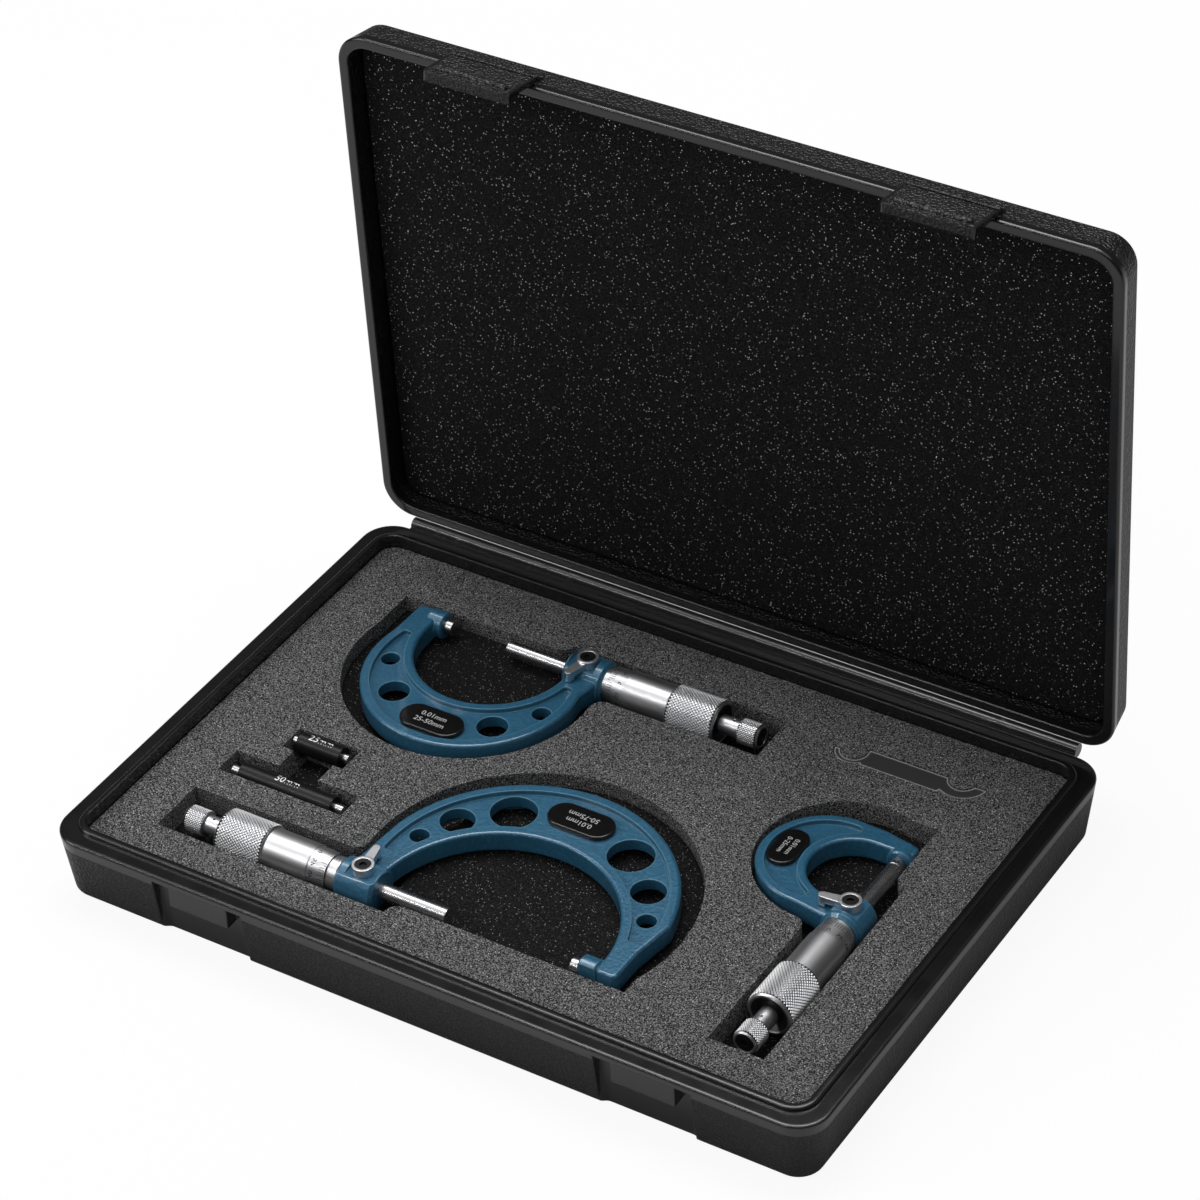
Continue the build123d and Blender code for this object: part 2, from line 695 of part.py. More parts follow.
def hook_jaw(inner, outer):
    """The lower half of a ring, which is a spanner's hooked jaw."""
    ring = Circle(outer) - Circle(inner)
    return ring & between(-outer, outer, -outer, -inner / 4)


def spanner_outline():
    """Flat pin spanner: a straight shank with a narrow hook at one end and a wide one at the other."""
    half = SPANNER_L / 2
    shank = between(-half, half, -SPANNER_W / 2, SPANNER_W / 2)
    narrow = Pos(half + HOOK_IN_R, HOOK_OUT_R - SPANNER_W / 2) * hook_jaw(HOOK_IN_R, HOOK_OUT_R)
    wide = Pos(-half - WIDE_HOOK_IN_R, WIDE_HOOK_OUT_R - SPANNER_W / 2 - SPANNER_EDGE) * hook_jaw(
        WIDE_HOOK_IN_R, WIDE_HOOK_OUT_R
    )
    return Pos(SPANNER_X, SPANNER_Y) * (shank + narrow + wide)


def spanner():
    return extrude(Pos(0, 0, FOAM_TOP - SPANNER_DROP - SPANNER_T) * spanner_outline(), amount=SPANNER_T)


# ---------------------------------------------------------------- base foam
def pocket_outline(m):
    """A micrometer's pocket: a round part for its bow and a slot for its thimble."""
    bow = Pos(m.pocket_x, m.pocket_y) * Circle(m.pocket_r)
    bow = bow & between(
        m.pocket_x - m.pocket_r, m.pocket_x + m.pocket_r, m.pocket_y - m.pocket_r, m.pocket_top
    )
    corner = between(m.pocket_corner, 0, m.pocket_y, m.pocket_top)
    slot = between(m.slot_start, m.slot_end, m.slot_low, m.slot_high)
    outline = bow + corner + slot
    return offset(offset(outline, amount=POCKET_R), amount=-POCKET_R)


def sunk(outline, floor):
    """What is cut from the foam face down to a floor."""
    return extrude(Pos(0, 0, floor) * outline, amount=FOAM_TOP - floor + 1)


def micrometer_pocket(m):
    """Two levels: one that the bow lies on, and one sunk deeper for barrel and thimble."""
    outline = pocket_outline(m)
    deep = outline & between(m.deep_start, m.slot_end + 1, m.slot_low - m.bow_r, m.slot_high + 1)
    knurl = thimble_start(m) + THIMBLE_L - KNURL_L
    bow_rest = axis_height(m, m.nose_x - NOSE_L) - NOSE_R
    barrel_rest = min(axis_height(m, m.boss_x) - BOSS_R, axis_height(m, knurl) - KNURL_R)
    return Pos(*m.pocket_at) * Rot(0, 0, m.turn) * (
        sunk(outline, bow_rest - FOAM_FIT) + sunk(deep, barrel_rest - FOAM_FIT)
    )


def standards_pocket():
    """Two slots for the setting standards and the finger gap between them."""
    floor = BASE_H - STANDARD_DROP - GRIP_SLEEVE_R - FOAM_FIT
    pocket = None
    for s in (LONG_STANDARD, SHORT_STANDARD):
        near = s.y - GRIP_SLEEVE_R - s.near
        slot = sunk(
            between(s.x - s.length / 2 - s.left, s.x + s.length / 2 + s.right, near, near + STANDARD_SLOT_W), floor
        )
        pocket = slot if pocket is None else pocket + slot
    gap = between(FINGER_X - FINGER_W / 2, FINGER_X + FINGER_W / 2, LONG_STANDARD.y, SHORT_STANDARD.y)
    return pocket + sunk(gap, FINGER_FLOOR)


def base_foam():
    """The insert that the contents lie in."""
    foam = slab(
        CASE_W - 2 * (TRAY_IN + FOAM_GAP), CASE_D - 2 * (TRAY_IN + FOAM_GAP), TRAY_R - FOAM_GAP, FLOOR_T, FOAM_TOP
    )
    for m in MICROMETERS:
        foam = foam - micrometer_pocket(m)
    foam = foam - standards_pocket()
    spanner_slot = offset(spanner_outline(), amount=SPANNER_FIT)
    return foam - sunk(spanner_slot, FOAM_TOP - SPANNER_DROP - SPANNER_T - FOAM_FIT)


# ---------------------------------------------------------------- export
def all_parts():
    """Every node by name."""
    parts = {
        "base_shell": base_shell(),
        "base_foam": base_foam(),
        "living_hinge": living_hinge(),
        "lid_shell": lid_shell(),
        "lid_foam": lid_foam(),
        "latch_left": latch_flap(-LATCH_X),
        "latch_right": latch_flap(LATCH_X),
        "spanner": spanner(),
    }
    for m in MICROMETERS:
        for name, make in MICROMETER_PARTS.items():
            parts[f"{name}_{m.name}"] = lying(m) * make(m)
    for s in (SHORT_STANDARD, LONG_STANDARD):
        parts[f"standard_{s.name}_rod"] = standard_rod(s)
        parts[f"standard_{s.name}_sleeve"] = standard_sleeve(s)
    return parts


os.makedirs("parts", exist_ok=True)
for node, shape in all_parts().items():
    export_step(shape, f"parts/{node}.step")
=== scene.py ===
import bmesh
import bpy
from math import cos, pi, radians, sin
from mathutils import Matrix, Vector


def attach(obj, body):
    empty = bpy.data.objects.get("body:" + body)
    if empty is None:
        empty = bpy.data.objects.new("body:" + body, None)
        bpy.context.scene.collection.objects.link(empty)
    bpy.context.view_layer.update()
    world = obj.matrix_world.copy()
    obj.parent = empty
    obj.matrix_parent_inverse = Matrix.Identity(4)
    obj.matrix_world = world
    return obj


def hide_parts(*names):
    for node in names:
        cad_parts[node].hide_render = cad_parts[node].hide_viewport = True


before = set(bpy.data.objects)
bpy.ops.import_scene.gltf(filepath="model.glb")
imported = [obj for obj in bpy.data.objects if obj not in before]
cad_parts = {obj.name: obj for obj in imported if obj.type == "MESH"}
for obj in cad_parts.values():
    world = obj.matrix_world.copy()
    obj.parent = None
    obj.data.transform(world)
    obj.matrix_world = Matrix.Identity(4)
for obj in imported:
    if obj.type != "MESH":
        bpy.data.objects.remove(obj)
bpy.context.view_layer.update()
MM = 0.001


# ---------------------------------------------------------------- case shells
# The base and the lid are blow-moulded in black polyethylene with a leather-like grain. The mould is
# polished along the sealing rims and in the latch recesses, so the plastic comes out smooth there.
class Wire:
    """An output socket. Operators on it add Math nodes to its tree."""

    def __init__(self, nodes, socket):
        self.nodes, self.socket = nodes, socket

    def math(self, operation, *others):
        inputs = dict(enumerate((self, *others)))
        return self.nodes.add("ShaderNodeMath", {"operation": operation}, inputs)

    def __add__(self, other):
        return self.math("ADD", other)

    def __sub__(self, other):
        return self.math("SUBTRACT", other)

    def __rsub__(self, other):
        return self.nodes.add("ShaderNodeMath", {"operation": "SUBTRACT"}, {0: other, 1: self})

    def __mul__(self, other):
        return self.math("MULTIPLY", other)

    def __truediv__(self, other):
        return self.math("DIVIDE", other)

    def __mod__(self, other):
        return self.math("FLOORED_MODULO", other)

    def __gt__(self, other):
        return self.math("GREATER_THAN", other)

    def __lt__(self, other):
        return self.math("LESS_THAN", other)

    def __abs__(self):
        return self.math("ABSOLUTE")

    def __or__(self, other):
        return self.math("MAXIMUM", other)

    def __and__(self, other):
        return self.math("MINIMUM", other)

    def ramp(self, low, high, start=0.0, end=1.0):
        """From start to end as the value goes from low to high, smoothly."""
        settings = {"interpolation_type": "SMOOTHSTEP"}
        inputs = {"Value": self, "From Min": low, "From Max": high, "To Min": start, "To Max": end}
        return self.nodes.add("ShaderNodeMapRange", settings, inputs)

    __radd__ = __add__
    __rmul__ = __mul__


class Nodes:
    """A node tree, filled one node at a time."""

    def __init__(self, tree):
        self.tree = tree
        tree.nodes.clear()

    def add(self, kind, settings=None, inputs=None, output=0):
        node = self.tree.nodes.new(kind)
        for name, value in (settings or {}).items():
            setattr(node, name, value)
        for name, value in (inputs or {}).items():
            if isinstance(value, Wire):
                self.tree.links.new(value.socket, node.inputs[name])
            else:
                node.inputs[name].default_value = value
        return Wire(self, node.outputs[output])

    def split(self, vector):
        """The three numbers of a vector."""
        node = self.add("ShaderNodeSeparateXYZ", None, {0: vector}).socket.node
        return [Wire(self, out) for out in node.outputs]

    def vector(self, x, y, z):
        return self.add("ShaderNodeCombineXYZ", None, {0: x, 1: y, 2: z})

    def place(self):
        """A point's place on the object, in metres."""
        return self.add("ShaderNodeTexCoord", output="Object")

    def squeezed(self, where, *scale):
        """The place scaled along each axis. A pattern read there is squeezed by the same scale."""
        return self.add("ShaderNodeMapping", None, {"Vector": where, "Scale": scale})

    def ray(self, kind):
        """1 for the rays of one kind."""
        return self.add("ShaderNodeLightPath", output=f"Is {kind} Ray")

    def noise(self, where, size, detail=2.0, roughness=0.5):
        inputs = {"Vector": where, "Scale": 1 / size, "Detail": detail, "Roughness": roughness}
        return self.add("ShaderNodeTexNoise", None, inputs)

    def cells(self, where, size, feature="F1", output="Distance"):
        inputs = {"Vector": where, "Scale": 1 / size, "Randomness": 1.0}
        return self.add("ShaderNodeTexVoronoi", {"feature": feature}, inputs, output)

    def mix(self, factor, first, second):
        """From the first colour to the second."""
        return self.add("ShaderNodeMix", {"data_type": "RGBA"}, {0: factor, 6: first, 7: second}, 2)

    def edges(self, radius):
        """Normals that look as if every edge had this radius."""
        return self.add("ShaderNodeBevel", {"samples": 6}, {"Radius": radius})

    def worn(self, radius):
        """1 on edges, falling to 0 within this radius of them. It places painted highlights along
        edges.
        """
        inputs = {0: self.edges(radius), 1: self.add("ShaderNodeNewGeometry", output="Normal")}
        alike = self.add("ShaderNodeVectorMath", {"operation": "DOT_PRODUCT"}, inputs, "Value")
        return alike.ramp(0.80, 0.985, 1.0, 0.0)

    def bump(self, height, depth, strength=1.0, normal=None):
        inputs = {"Height": height, "Distance": depth, "Strength": strength}
        if normal is not None:
            inputs["Normal"] = normal
        return self.add("ShaderNodeBump", None, inputs)


def grey(value, tint=0.0):
    """A grey, towards blue by the tint."""
    return (value, value, value * (1 + tint), 1)


def finish(name):
    """A new material and its nodes."""
    material = bpy.data.materials.new(name)
    material.use_nodes = True
    return material, Nodes(material.node_tree)


def close(nodes, **sockets):
    """Ends a material in a Principled surface with these sockets."""
    named = {name.replace("_", " "): value for name, value in sockets.items()}
    surface = nodes.add("ShaderNodeBsdfPrincipled", None, named)
    output = nodes.tree.nodes.new("ShaderNodeOutputMaterial")
    nodes.tree.links.new(surface.socket, output.inputs["Surface"])


def dress(node, material):
    """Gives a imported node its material."""
    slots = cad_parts[node].data.materials
    slots.clear()
    slots.append(material)


GRAIN = 0.95 * MM  # across one pebble of the grain
GRAIN_DEPTH = 0.36 * MM


def moulded(name, smooth_where, edge, tone=1.0):
    """Black plastic, grained except where smooth_where(x, y, z) is 1. A tone over 1 is lighter."""
    material, n = finish(name)
    at = n.place()
    x, y, z = n.split(at)
    smooth = smooth_where(x, y, z)
    pebble = n.cells(at, GRAIN, "SMOOTH_F1").ramp(0.15, 0.75) + n.noise(at, 0.5 * MM) * 0.35
    grained = 1 - smooth
    cloud = n.noise(at, 30 * MM, 3.0)
    scuffs = n.noise(n.squeezed(at, 1, 1, 12), 9 * MM, 4.0)
    shade = grained * (1 - pebble) * 0.6 + cloud * 0.4
    close(
        n,
        Base_Color=n.mix(shade, grey(0.0075 * tone, 0.12), grey(0.0030 * tone, 0.12)),
        Roughness=grained * 0.16 + 0.20 + (scuffs - 0.5) * 0.16,
        Specular_IOR_Level=0.42,
        Coat_Weight=smooth * 0.6,
        Coat_Roughness=0.10,
        Normal=n.bump(1 - pebble, GRAIN_DEPTH, grained, n.edges(edge)),
    )
    return material


CASE_EDGE = 1.3 * MM
BASE_H = 28.0 * MM
BASE_BAND = 4.6 * MM  # polished, under the rim
BASE_FADE = 0.6 * MM
LATCH_X = 93.0 * MM
RECESS_HALF = 19.6 * MM
FRONT_Y = -100 * MM  # the recesses lie in front of this


def base_smooth(x, y, z):
    recess = (abs(abs(x) - LATCH_X) < RECESS_HALF) & (y < FRONT_Y)
    return z.ramp(BASE_H - BASE_BAND - BASE_FADE, BASE_H - BASE_BAND) | recess


dress("base_shell", moulded("case_base", base_smooth, CASE_EDGE))

HINGE_Y = 113.0 * MM
HINGE_Z = 28.1 * MM
OPEN = radians(88.4)
LID_BAND = 3.2 * MM
LID_FADE = 1.0 * MM


def lid_smooth(x, y, z):
    depth = (y - HINGE_Y) * sin(OPEN) + (z - HINGE_Z) * cos(OPEN)  # from the open lid's rim
    return depth.ramp(LID_BAND, LID_BAND + LID_FADE, 1.0, 0.0)


dress("lid_shell", moulded("case_lid", lid_smooth, CASE_EDGE))

FLAP_BARE = 16.6 * MM  # from a flap's middle to its polished side edges
FLAP_FADE = 0.8 * MM


def flap_smooth(x, y, z):
    aside = abs(abs(x) - LATCH_X)
    return aside.ramp(FLAP_BARE, FLAP_BARE + FLAP_FADE) * 0.8


for side in ("left", "right"):
    dress(f"latch_{side}", moulded(f"latch_flap_{side}", flap_smooth, 0.5 * MM, 1.2))


# ---------------------------------------------------------------- hinge strip
# The strip that folds between base and lid is the same plastic, pressed thin. It is glossy from
# flexing and carries small creases across its length.
material, n = finish("hinge_strip")
at = n.place()
creased = n.noise(n.squeezed(at, 1, 0.25, 0.25), 2.2 * MM, 3.0)
patches = n.noise(at, 26 * MM, 1.0).ramp(0.42, 0.62)
dents = n.cells(at, 5 * MM).ramp(0.05, 0.30, 1.0, 0.0)
height = creased * patches * 0.7 + dents * patches
close(
    n,
    Base_Color=n.mix(dents * patches * 0.5, grey(0.014), grey(0.05)),
    Roughness=creased * 0.16 + 0.14,
    Coat_Weight=0.8,
    Coat_Roughness=0.14,
    Normal=n.bump(height, 0.6 * MM, 0.9),
)
dress("living_hinge", material)


# ---------------------------------------------------------------- foam
# The base holds a grey foam insert with the pockets cut into it. Its pocket floors, the faces that
# look up low in the insert, take a darker tone. The lid holds one black pad. Both are cut foam, with
# soft edges.
FLOORS_BELOW = 19.5 * MM
FOAM_GRAIN = 0.58 * MM
WELD = 0.005 * MM  # points nearer than this are one

# Each entry: dark and light tone of its grains, tone of the cells that glint, size of a cell, and the
# share of cells that glint.
GREY_SHEET = (0.005, 0.225, 0.80, 0.9 * MM, 0.55)
FLOOR_TONES = (0.0025, 0.017, 0.40, 0.85 * MM, 0.50)
LID_SHEET = (0.0018, 0.014, 1.00, 0.85 * MM, 0.34)


def foam(name, tone_sets):
    """Open-cell foam of one set of tones, or of two, the second on faces that look up below
    FLOORS_BELOW.
    """
    material, n = finish(name)
    at = n.place()
    grain = n.noise(at, FOAM_GRAIN, 2.0, 0.7).ramp(0.45, 0.56)
    soft = n.noise(at, 3.0 * MM, 2.0)
    tones = []
    for low, high, bright, cell_size, share in tone_sets:
        cell = n.cells(at, cell_size)
        middle = n.cells(at, cell_size, output="Position")
        spark = n.add("ShaderNodeTexWhiteNoise", None, {"Vector": middle})
        glint = cell.ramp(0.14, 0.30, 1.0, 0.0) * spark.ramp(1 - share, 1.0)
        ground = n.mix(grain * 0.85 + soft * 0.15, grey(low), grey(high))
        tones.append(n.mix(glint, ground, grey(bright)))
    tone = tones[0]
    if len(tones) > 1:
        # Faces that look up below FLOORS_BELOW, the pocket floors, take the darker second set of tones.
        facing_up = n.split(n.add("ShaderNodeTexCoord", output="Normal"))[2] > 0.7
        tone = n.mix(facing_up & (n.split(at)[2] < FLOORS_BELOW), tones[0], tones[1])
    normal = n.bump(grain + soft * 0.5, 0.35 * MM, 0.8)
    close(n, Base_Color=tone, Roughness=0.96, Specular_IOR_Level=0.15, Normal=normal)
    return material


def plain_mesh(name, source, matrix=None):
    """A new object from an evaluated object's mesh, with its place in the mesh."""
    graph = bpy.context.evaluated_depsgraph_get()
    mesh = bpy.data.meshes.new_from_object(source.evaluated_get(graph), depsgraph=graph)
    if matrix is not None:
        mesh.transform(matrix)
    made = bpy.data.objects.new(name, mesh)
    bpy.context.scene.collection.objects.link(made)
    return made


def pad(name, node, softness, material):
    """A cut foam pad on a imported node's shape, with its edges eased."""
    copy = bpy.data.objects.new(name + "_cut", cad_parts[node].data.copy())
    bpy.context.scene.collection.objects.link(copy)
    shape = bmesh.new()
    shape.from_mesh(copy.data)
    bmesh.ops.remove_doubles(shape, verts=shape.verts, dist=WELD)
    bmesh.ops.dissolve_limit(shape, angle_limit=radians(1), verts=shape.verts, edges=shape.edges)
    shape.to_mesh(copy.data)
    shape.free()
    copy.data.normals_split_custom_set([(0, 0, 0)] * len(copy.data.loops))
    ease = copy.modifiers.new("ease", "BEVEL")
    ease.width = softness
    ease.segments = 3
    ease.angle_limit = radians(50)
    made = plain_mesh(name, copy)
    bpy.data.objects.remove(copy)
    made.data.polygons.foreach_set("use_smooth", [True] * len(made.data.polygons))
    made.data.set_sharp_from_angle(angle=radians(32))
    made.data.materials.clear()
    made.data.materials.append(material)
    return made


insert = pad("base_insert", "base_foam", 0.55 * MM, foam("grey_foam", (GREY_SHEET, FLOOR_TONES)))
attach(insert, "base")
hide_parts("base_foam")
lid_pad = pad("lid_pad", "lid_foam", 1.2 * MM, foam("black_foam", (LID_SHEET,)))
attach(lid_pad, "lid")
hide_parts("lid_foam")


# ---------------------------------------------------------------- micrometer frames
# Each frame is a forging under blue hammer-finish enamel. Its anvil and spindle are ground steel, and
# the label plate is glossy black with printed figures.
def lying(x, y, z, turn, tilt):
    """Where a micrometer lies: millimetres and degrees."""
    turned = Matrix.Rotation(radians(turn), 4, "Z") @ Matrix.Rotation(radians(-tilt), 4, "Y")
    return Matrix.Translation((x * MM, y * MM, z * MM)) @ turned


PLACES = {
    "0_25": lying(115.4, 17.1, 21.8, -90, 1.5),
    "25_50": lying(-73.8, 68.2, 23.7, 0, 0),
    "50_75": lying(7.0, -72.6, 24.0, 180, 0),
}

HAMMER = 1.1 * MM  # across one dimple of the enamel
DEEP_BLUE = (0.010, 0.066, 0.126, 1)
LIGHT_BLUE = (0.028, 0.140, 0.240, 1)
HIGHLIGHT_BLUE = (0.12, 0.29, 0.40, 1)  # painted highlight along the frame's edges

enamel, n = finish("blue_enamel")
at = n.place()
hammer = n.cells(at, HAMMER, "SMOOTH_F1").ramp(0.0, 0.8) + n.noise(at, 0.45 * MM) * 0.5
flow = n.noise(at, 14 * MM, 3.0)
# The frame's edges carry a painted highlight, a lighter blue within 1.3 mm of them.
close(
    n,
    Base_Color=n.mix(
        n.worn(1.3 * MM) * 0.7, n.mix(hammer * 0.5 + flow * 0.4, DEEP_BLUE, LIGHT_BLUE), HIGHLIGHT_BLUE
    ),
    Roughness=n.noise(at, 1.6 * MM) * 0.22 + 0.24,
    Metallic=0.12,
    Coat_Weight=0.8,
    Coat_Roughness=0.06,
    Normal=n.bump(hammer, 0.10 * MM, 0.6, n.edges(0.7 * MM)),
)


def ground_steel(name, tone, rough, edge):
    """Bare or blackened steel with the fine speckle that grinding leaves."""
    material, n = finish(name)
    at = n.place()
    lines = n.noise(at, 0.25 * MM, 2.0)
    hazy = n.noise(at, 7 * MM, 3.0)
    close(
        n,
        Base_Color=n.mix(hazy * 0.6, grey(tone, 0.02), grey(tone * 0.86, 0.02)),
        Roughness=lines * 0.10 + hazy * 0.08 + rough,
        Metallic=1.0,
        Normal=n.bump(lines, 0.001 * MM, 0.6, n.edges(edge)),
    )
    return material


polished = ground_steel("ground_steel", 0.52, 0.17, 0.15 * MM)

label_gloss, n = finish("label_gloss")
at = n.place()
# The plate's edges carry a painted highlight, light grey within 0.9 mm of them.
close(
    n,
    Base_Color=n.mix(n.worn(0.9 * MM) * 0.7, grey(0.005), grey(0.30)),
    Roughness=n.noise(at, 4 * MM, 2.0) * 0.12 + 0.14,
    Specular_IOR_Level=0.35,
    Coat_Weight=0.35,
    Coat_Roughness=0.06,
    Normal=n.bump(n.noise(at, 1.5 * MM, 2.0), 0.02 * MM, 0.4, n.edges(0.5 * MM)),
)


def ink(name, tone, speckle, rough):
    """The flat paint of printed or filled figures."""
    material, n = finish(name)
    close(n, Base_Color=grey(tone), Roughness=n.noise(n.place(), speckle) * 0.2 + rough)
    return material


print_grey = ink("printed_figures", 0.46, 0.4 * MM, 0.45)
PRINT_T = 0.04 * MM
CAPITAL = 0.7  # height of a capital, as a share of the size of its font


def lettering(words, height):
    """A flat mesh of words in the XY plane, centred, PRINT_T thick."""
    curve = bpy.data.curves.new("words", "FONT")
    curve.body = words
    curve.size = height / CAPITAL
    curve.align_x = "CENTER"
    curve.align_y = "CENTER"
    curve.resolution_u = 3
    curve.extrude = PRINT_T / 2
    holder = bpy.data.objects.new("words", curve)
    bpy.context.scene.collection.objects.link(holder)
    made = plain_mesh("words_mesh", holder)
    bpy.data.objects.remove(holder)
    return made


def settle(name, bends, material, body):
    """Joins meshes as one piece. bends lists (object, function that puts a point in its place)."""
    shape = bmesh.new()
    for source, bend in bends:
        start = len(shape.verts)
        shape.from_mesh(source.data)
        shape.verts.ensure_lookup_table()
        for vert in list(shape.verts)[start:]:
            vert.co = bend(vert.co.copy())
        bpy.data.objects.remove(source)
    mesh = bpy.data.meshes.new(name)
    shape.to_mesh(mesh)
    shape.free()
    mesh.materials.append(material)
    piece = bpy.data.objects.new(name, mesh)
    bpy.context.scene.collection.objects.link(piece)
    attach(piece, body)


PLATE_TOP = 4.2 * MM
ROW_GAP = 0.78  # of a plate's two rows from its middle, as a share of their height
PLATES = {
    "0_25": (0.0, -37.2 * MM, ("0.01mm", "0-25mm"), 2.0 * MM),
    "25_50": (1.1 * MM, -54.6 * MM, ("0.01mm", "25-50mm"), 2.4 * MM),
    "50_75": (0.0, -63.8 * MM, ("0.01mm", "50-75mm"), 2.35 * MM),
}
for size, place in PLACES.items():
    dress(f"frame_{size}", enamel)
    dress(f"anvil_{size}", polished)
    dress(f"spindle_{size}", polished)
    dress(f"label_plate_{size}", label_gloss)
    plate_x, plate_y, lines, height = PLATES[size]
    rows = []
    for words, row in zip(lines, (1, -1)):
        shift = Vector((plate_x, plate_y + row * height * ROW_GAP, PLATE_TOP + PRINT_T / 2))
        rows.append((lettering(words, height), lambda p, s=shift, m=place: m @ (p + s)))
    settle(f"label_figures_{size}", rows, print_grey, f"micrometer_{size}")


# ---------------------------------------------------------------- barrels and thimbles
# Barrel, thimble and ratchet are turned steel in satin chrome. The thimble's grip and the ratchet carry
# rolled diamond knurls. Graduations are etched and filled with black.
THIMBLE_START = {"0_25": 31.1 * MM, "25_50": 47.3 * MM, "50_75": 65.1 * MM}
BOSS_END = {"0_25": 29.1 * MM, "25_50": 45.3 * MM, "50_75": 61.1 * MM}
THIMBLE_L = 47.6 * MM
KNURL_R = 8.8 * MM
KNURL_L = 21.0 * MM
KNURL_H = 0.32 * MM
KNURL_AROUND = 42
KNURL_BARE = 0.7 * MM  # plain rim at each end of a knurl
KNURL_STEP = 0.6  # from row to row, as a share of the distance between studs
STUD_L = 1.2  # length of a stud, as a share of the same distance
NECK_L = 7.6 * MM
RATCHET_R = 4.75 * MM
RATCHET_L = 9.2 * MM
RATCHET_H = 0.22 * MM
RATCHET_AROUND = 30
GROOVE = 0.06 * MM  # how near a knurl's ground a surface has to lie to take the painted shade of its grooves
HOLLOW_R = 8.0 * MM  # of the thimble's hollow end
HOLLOW_L = 9 * MM
HOLLOW_RIM = 0.3 * MM


def turned_chrome(size, knurl_start, knurl_end):
    """Satin chrome with turning lines, with painted shade in the grooves of the knurls and in the
    hollow end.
    """
    material, n = finish(f"satin_chrome_{size}")
    at = n.place()
    where, facing = PLACES[size].translation, PLACES[size].to_euler()
    near = {"Vector": at, "Location": where, "Rotation": facing}
    local = n.add("ShaderNodeMapping", {"vector_type": "TEXTURE"}, near)
    x, y, z = n.split(local)
    across = n.vector(0.0, y, z)
    off_axis = n.add("ShaderNodeVectorMath", {"operation": "LENGTH"}, {0: across}, "Value")
    lines = n.noise(n.vector(x, off_axis, 0.0), 0.16 * MM, 2.0)
    hazy = n.noise(at, 7 * MM, 3.0)
    # Painted shade: near black between the knurl studs and inside the thimble's hollow end.
    past_bevel = (abs(off_axis - KNURL_R) < GROOVE) & (x > knurl_start + KNURL_BARE)
    on_grip = past_bevel & (x < knurl_end - KNURL_BARE)
    on_knob = (abs(off_axis - RATCHET_R) < GROOVE) & (x > knurl_end + NECK_L + KNURL_BARE)
    in_end = (x > knurl_end - HOLLOW_L) & (x < knurl_end - HOLLOW_RIM)
    hollow = in_end & (off_axis < HOLLOW_R)
    groove = on_grip | on_knob | hollow * 0.8
    satin = n.mix(hazy * 0.6, grey(0.68, 0.02), grey(0.60, 0.02))
    close(
        n,
        Base_Color=n.mix(groove, satin, grey(0.02)),
        Roughness=lines * 0.14 + hazy * 0.08 + 0.24,
        Metallic=1.0,
        Normal=n.bump(lines, 0.004 * MM, 0.6, n.edges(0.3 * MM)),
    )
    return material


knurled_chrome, n = finish("knurled_chrome")
at = n.place()
close(
    n,
    Base_Color=n.mix(n.noise(at, 3 * MM), grey(0.94, 0.02), grey(0.84, 0.02)),
    Roughness=n.noise(at, 0.4 * MM) * 0.16 + 0.24,
    Metallic=1.0,
)
etch = ink("etched_figures", 0.012, 0.3 * MM, 0.5)


def ring_tree():
    """Copies of a small solid in rings round X. Every other row is shifted round."""
    tree = bpy.data.node_groups.new("rings_of_copies", "GeometryNodeTree")
    sockets = (
        ("Piece", "NodeSocketObject"), ("Around", "NodeSocketInt"), ("Rows", "NodeSocketInt"),
        ("Radius", "NodeSocketFloat"), ("Step", "NodeSocketFloat"), ("Shift", "NodeSocketFloat"),
        ("Long Every", "NodeSocketInt"), ("Long By", "NodeSocketFloat"),
        ("Material", "NodeSocketMaterial"),
    )
    tree.interface.new_socket("Geometry", in_out="INPUT", socket_type="NodeSocketGeometry")
    tree.interface.new_socket("Geometry", in_out="OUTPUT", socket_type="NodeSocketGeometry")
    for name, kind in sockets:
        tree.interface.new_socket(name, in_out="INPUT", socket_type=kind)
    n = Nodes(tree)
    given = tree.nodes.new("NodeGroupInput")
    value = {name: Wire(n, given.outputs[name]) for name, _ in sockets}
    index = n.add("GeometryNodeInputIndex")
    column = index % value["Around"]
    row = (index / value["Around"]).math("FLOOR")
    turn = (column + value["Shift"] * (row % 2)) * (2 * pi) / value["Around"]
    where = n.vector(
        row * value["Step"],
        value["Radius"] * turn.math("SINE") * -1,
        value["Radius"] * turn.math("COSINE"),
    )
    longer = 1 + (value["Long By"] - 1) * (1 - ((column + row) % value["Long Every"] & 1))
    count = value["Around"] * value["Rows"]
    points = n.add("GeometryNodePoints", None, {"Count": count, "Position": where})
    piece = n.add("GeometryNodeObjectInfo", None, {"Object": value["Piece"]}, "Geometry")
    facing = n.add("FunctionNodeEulerToRotation", None, {0: n.vector(turn, 0.0, 0.0)})
    copies = n.add(
        "GeometryNodeInstanceOnPoints",
        None,
        {"Points": points, "Instance": piece, "Rotation": facing, "Scale": n.vector(longer, 1.0, 1.0)},
    )
    solid = n.add("GeometryNodeRealizeInstances", None, {"Geometry": copies})
    coated = n.add("GeometryNodeSetMaterial", None, {"Geometry": solid, "Material": value["Material"]})
    result = tree.nodes.new("NodeGroupOutput")
    tree.links.new(coated.socket, result.inputs[0])
    return tree


RINGS = ring_tree()


